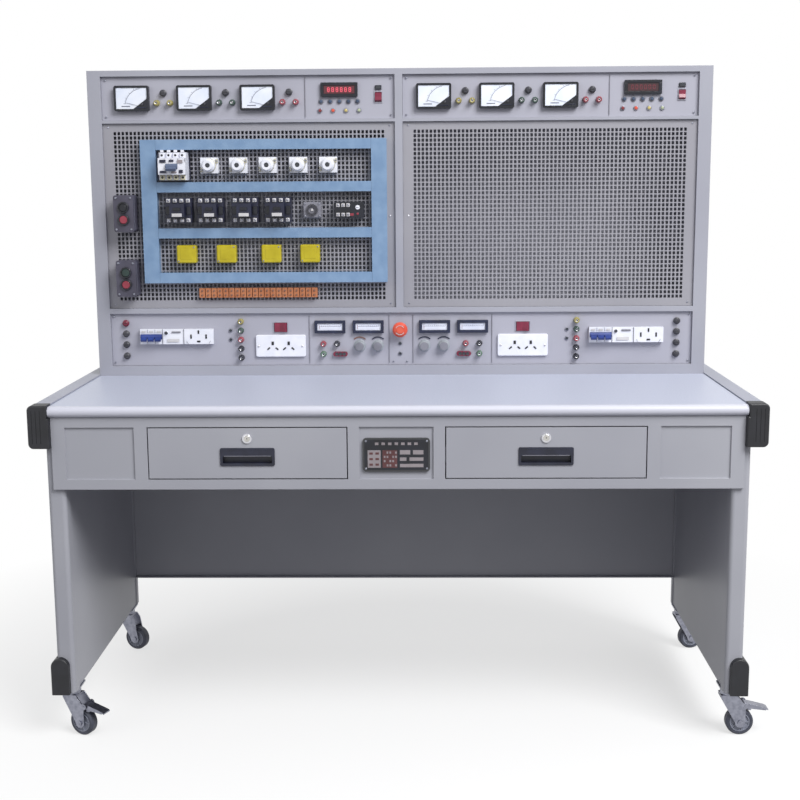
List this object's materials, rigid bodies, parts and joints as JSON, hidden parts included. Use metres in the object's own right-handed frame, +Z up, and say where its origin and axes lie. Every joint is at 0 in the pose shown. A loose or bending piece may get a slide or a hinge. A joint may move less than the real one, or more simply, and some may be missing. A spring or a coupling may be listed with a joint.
{
  "type": "electrician training bench",
  "caption": "Steel electrician training bench on swivel casters: desk with drawers under a console of meters, perforated boards, switchgear and sockets.",
  "frame": {"origin": "middle of the footprint, on the floor under the wheels", "axes": "+X to the user's right, +Y away from the user towards the console, +Z up"},
  "size_m": [1.7316, 0.714, 1.605],
  "materials": {
    "frame_paint": "semi-gloss light grey powder coat",
    "console_paint": "semi-gloss light grey powder coat",
    "board_paint": "light grey powder coat on perforated sheet",
    "beam_paint": "light grey extruded profile",
    "laminate": "pale lavender-blue laminate with a white edge",
    "black_plastic": "moulded black plastic",
    "instrument_black": "black instrument plastic",
    "white_plastic": "white moulded plastic",
    "yellow_plastic": "yellow moulded plastic",
    "orange_plastic": "orange moulded plastic",
    "station_grey": "dark grey moulded box",
    "duct_blue": "light blue duct",
    "zinc_plate": "bright zinc-plated steel",
    "wheel_rubber": "dark grey nylon and rubber",
    "chrome_plate": "polished chrome",
    "knob_grey": "grey moulded knob",
    "lever_blue": "blue moulded lever",
    "red_plastic": "red moulded plastic",
    "green_plastic": "dark green moulded plastic",
    "dark_red_plastic": "dark red rocker"
  },
  "bodies": {
    "bench": {"analog_meters": "instrument_black", "binding_posts": "instrument_black", "breaker_bodies": "white_plastic", "button_stations": "station_grey", "caster_plates": "zinc_plate", "console_frame": "console_paint", "console_shell": "console_paint", "contactors": "instrument_black", "digital_timers": "instrument_black", "drawer_cabinet": "frame_paint", "drawer_runners": "zinc_plate", "frame_caps": "black_plastic", "fuses_and_lamps": "instrument_black", "lower_panel": "console_paint", "mesh_panels": "board_paint", "modesty_panel": "frame_paint", "relays": "yellow_plastic", "screw_fuses": "white_plastic", "side_beams": "beam_paint", "side_leg_left": "frame_paint", "side_leg_right": "frame_paint", "socket_outlets": "white_plastic", "table_top": "laminate", "terminal_strip": "orange_plastic", "upper_panels": "console_paint", "wiring_ducts": "duct_blue"},
    "drawer_left": {"drawer_left_front": "frame_paint", "drawer_left_tray": "frame_paint", "drawer_left_pull": "black_plastic"},
    "drawer_left_lock": {"drawer_left_lock": "chrome_plate"},
    "drawer_right": {"drawer_right_front": "frame_paint", "drawer_right_tray": "frame_paint", "drawer_right_pull": "black_plastic"},
    "drawer_right_lock": {"drawer_right_lock": "chrome_plate"},
    "caster_fork_front_left": {"caster_fork_front_left": "zinc_plate"},
    "caster_wheel_front_left": {"caster_wheel_front_left": "wheel_rubber"},
    "brake_pedal_front_left": {"brake_pedal_front_left": "zinc_plate"},
    "caster_fork_front_right": {"caster_fork_front_right": "zinc_plate"},
    "caster_wheel_front_right": {"caster_wheel_front_right": "wheel_rubber"},
    "brake_pedal_front_right": {"brake_pedal_front_right": "zinc_plate"},
    "caster_fork_rear_left": {"caster_fork_rear_left": "zinc_plate"},
    "caster_wheel_rear_left": {"caster_wheel_rear_left": "wheel_rubber"},
    "caster_fork_rear_right": {"caster_fork_rear_right": "zinc_plate"},
    "caster_wheel_rear_right": {"caster_wheel_rear_right": "wheel_rubber"},
    "upper_station_black_button": {"upper_station_black_button": "instrument_black"},
    "upper_station_red_button": {"upper_station_red_button": "red_plastic"},
    "lower_station_green_button": {"lower_station_green_button": "green_plastic"},
    "lower_station_red_button": {"lower_station_red_button": "red_plastic"},
    "estop_button": {"estop_button": "red_plastic"},
    "rcd_lever": {"rcd_lever": "instrument_black"},
    "breaker_lever_left": {"breaker_lever_left": "lever_blue"},
    "upper_rocker_left": {"upper_rocker_left": "dark_red_plastic"},
    "lower_rocker_left": {"lower_rocker_left": "dark_red_plastic"},
    "breaker_lever_right": {"breaker_lever_right": "lever_blue"},
    "upper_rocker_right": {"upper_rocker_right": "dark_red_plastic"},
    "lower_rocker_right": {"lower_rocker_right": "dark_red_plastic"},
    "regulator_knob_1": {"regulator_knob_1": "knob_grey"},
    "regulator_knob_2": {"regulator_knob_2": "knob_grey"},
    "regulator_knob_3": {"regulator_knob_3": "knob_grey"},
    "regulator_knob_4": {"regulator_knob_4": "knob_grey"}
  },
  "joints": [
    {"name": "drawer_left_slide", "type": "slide", "parent": "bench", "child": "drawer_left", "axis": [0, -1, 0], "range_m": [0, 0.35]},
    {"name": "drawer_left_lock_turn", "type": "hinge", "parent": "drawer_left", "child": "drawer_left_lock", "pos_m": [-0.363, -0.343, 0.74], "axis": [0, -1, 0], "range_deg": [0, 90]},
    {"name": "drawer_right_slide", "type": "slide", "parent": "bench", "child": "drawer_right", "axis": [0, -1, 0], "range_m": [0, 0.35]},
    {"name": "drawer_right_lock_turn", "type": "hinge", "parent": "drawer_right", "child": "drawer_right_lock", "pos_m": [0.3225, -0.343, 0.74], "axis": [0, -1, 0], "range_deg": [0, 90]},
    {"name": "caster_swivel_front_left", "type": "hinge", "parent": "bench", "child": "caster_fork_front_left", "pos_m": [-0.81125, -0.283, 0.102], "axis": [0, 0, 1], "continuous": true},
    {"name": "caster_roll_front_left", "type": "hinge", "parent": "caster_fork_front_left", "child": "caster_wheel_front_left", "pos_m": [-0.78529, -0.29349, 0.033], "axis": [0.3746, 0.9272, 0], "continuous": true},
    {"name": "brake_pedal_turn_front_left", "type": "hinge", "parent": "caster_fork_front_left", "child": "brake_pedal_front_left", "pos_m": [-0.77416, -0.29798, 0.076], "axis": [0.3746, 0.9272, 0], "range_deg": [0, 8]},
    {"name": "caster_swivel_front_right", "type": "hinge", "parent": "bench", "child": "caster_fork_front_right", "pos_m": [0.77075, -0.283, 0.102], "axis": [0, 0, 1], "continuous": true},
    {"name": "caster_roll_front_right", "type": "hinge", "parent": "caster_fork_front_right", "child": "caster_wheel_front_right", "pos_m": [0.79875, -0.283, 0.033], "axis": [0, 1, 0], "continuous": true},
    {"name": "brake_pedal_turn_front_right", "type": "hinge", "parent": "caster_fork_front_right", "child": "brake_pedal_front_right", "pos_m": [0.81075, -0.283, 0.076], "axis": [0, 1, 0], "range_deg": [0, 8]},
    {"name": "caster_swivel_rear_left", "type": "hinge", "parent": "bench", "child": "caster_fork_rear_left", "pos_m": [-0.81125, 0.302, 0.102], "axis": [0, 0, 1], "continuous": true},
    {"name": "caster_roll_rear_left", "type": "hinge", "parent": "caster_fork_rear_left", "child": "caster_wheel_rear_left", "pos_m": [-0.78462, 0.29335, 0.033], "axis": [0.309, 0.9511, 0], "continuous": true},
    {"name": "caster_swivel_rear_right", "type": "hinge", "parent": "bench", "child": "caster_fork_rear_right", "pos_m": [0.77075, 0.302, 0.102], "axis": [0, 0, 1], "continuous": true},
    {"name": "caster_roll_rear_right", "type": "hinge", "parent": "caster_fork_rear_right", "child": "caster_wheel_rear_right", "pos_m": [0.79848, 0.3059, 0.033], "axis": [-0.1392, 0.9903, 0], "continuous": true},
    {"name": "upper_station_black_button_press", "type": "slide", "parent": "bench", "child": "upper_station_black_button", "axis": [0, 1, 0], "range_m": [0, 0.004], "stiffness_N_per_m": 400},
    {"name": "upper_station_red_button_press", "type": "slide", "parent": "bench", "child": "upper_station_red_button", "axis": [0, 1, 0], "range_m": [0, 0.004], "stiffness_N_per_m": 400},
    {"name": "lower_station_green_button_press", "type": "slide", "parent": "bench", "child": "lower_station_green_button", "axis": [0, 1, 0], "range_m": [0, 0.004], "stiffness_N_per_m": 400},
    {"name": "lower_station_red_button_press", "type": "slide", "parent": "bench", "child": "lower_station_red_button", "axis": [0, 1, 0], "range_m": [0, 0.004], "stiffness_N_per_m": 400},
    {"name": "estop_button_press", "type": "slide", "parent": "bench", "child": "estop_button", "axis": [0, 1, 0], "range_m": [0, 0.004]},
    {"name": "rcd_lever_turn", "type": "hinge", "parent": "bench", "child": "rcd_lever", "pos_m": [-0.59925, 0.089, 1.362], "axis": [-1, 0, 0], "range_deg": [0, 70]},
    {"name": "breaker_lever_left_turn", "type": "hinge", "parent": "bench", "child": "breaker_lever_left", "pos_m": [-0.67725, 0.135, 0.92], "axis": [-1, 0, 0], "range_deg": [0, 70]},
    {"name": "upper_rocker_left_tilt", "type": "hinge", "parent": "bench", "child": "upper_rocker_left", "pos_m": [-0.07225, 0.153, 1.534], "axis": [1, 0, 0], "range_deg": [0, 20]},
    {"name": "lower_rocker_left_tilt", "type": "hinge", "parent": "bench", "child": "lower_rocker_left", "pos_m": [-0.33625, 0.153, 0.942], "axis": [0, 0, 1], "range_deg": [0, 20]},
    {"name": "breaker_lever_right_turn", "type": "hinge", "parent": "bench", "child": "breaker_lever_right", "pos_m": [0.50575, 0.135, 0.92], "axis": [-1, 0, 0], "range_deg": [0, 70]},
    {"name": "upper_rocker_right_tilt", "type": "hinge", "parent": "bench", "child": "upper_rocker_right", "pos_m": [0.70375, 0.153, 1.534], "axis": [1, 0, 0], "range_deg": [0, 20]},
    {"name": "lower_rocker_right_tilt", "type": "hinge", "parent": "bench", "child": "lower_rocker_right", "pos_m": [0.30275, 0.153, 0.942], "axis": [0, 0, 1], "range_deg": [0, 20]},
    {"name": "regulator_knob_1_turn", "type": "hinge", "parent": "bench", "child": "regulator_knob_1", "pos_m": [-0.12725, 0.151, 0.892], "axis": [0, 1, 0], "range_deg": [0, 270]},
    {"name": "regulator_knob_2_turn", "type": "hinge", "parent": "bench", "child": "regulator_knob_2", "pos_m": [-0.07925, 0.151, 0.892], "axis": [0, 1, 0], "range_deg": [0, 270]},
    {"name": "regulator_knob_3_turn", "type": "hinge", "parent": "bench", "child": "regulator_knob_3", "pos_m": [0.04375, 0.151, 0.892], "axis": [0, 1, 0], "range_deg": [0, 270]},
    {"name": "regulator_knob_4_turn", "type": "hinge", "parent": "bench", "child": "regulator_knob_4", "pos_m": [0.09475, 0.151, 0.892], "axis": [0, 1, 0], "range_deg": [0, 270]}
  ]
}
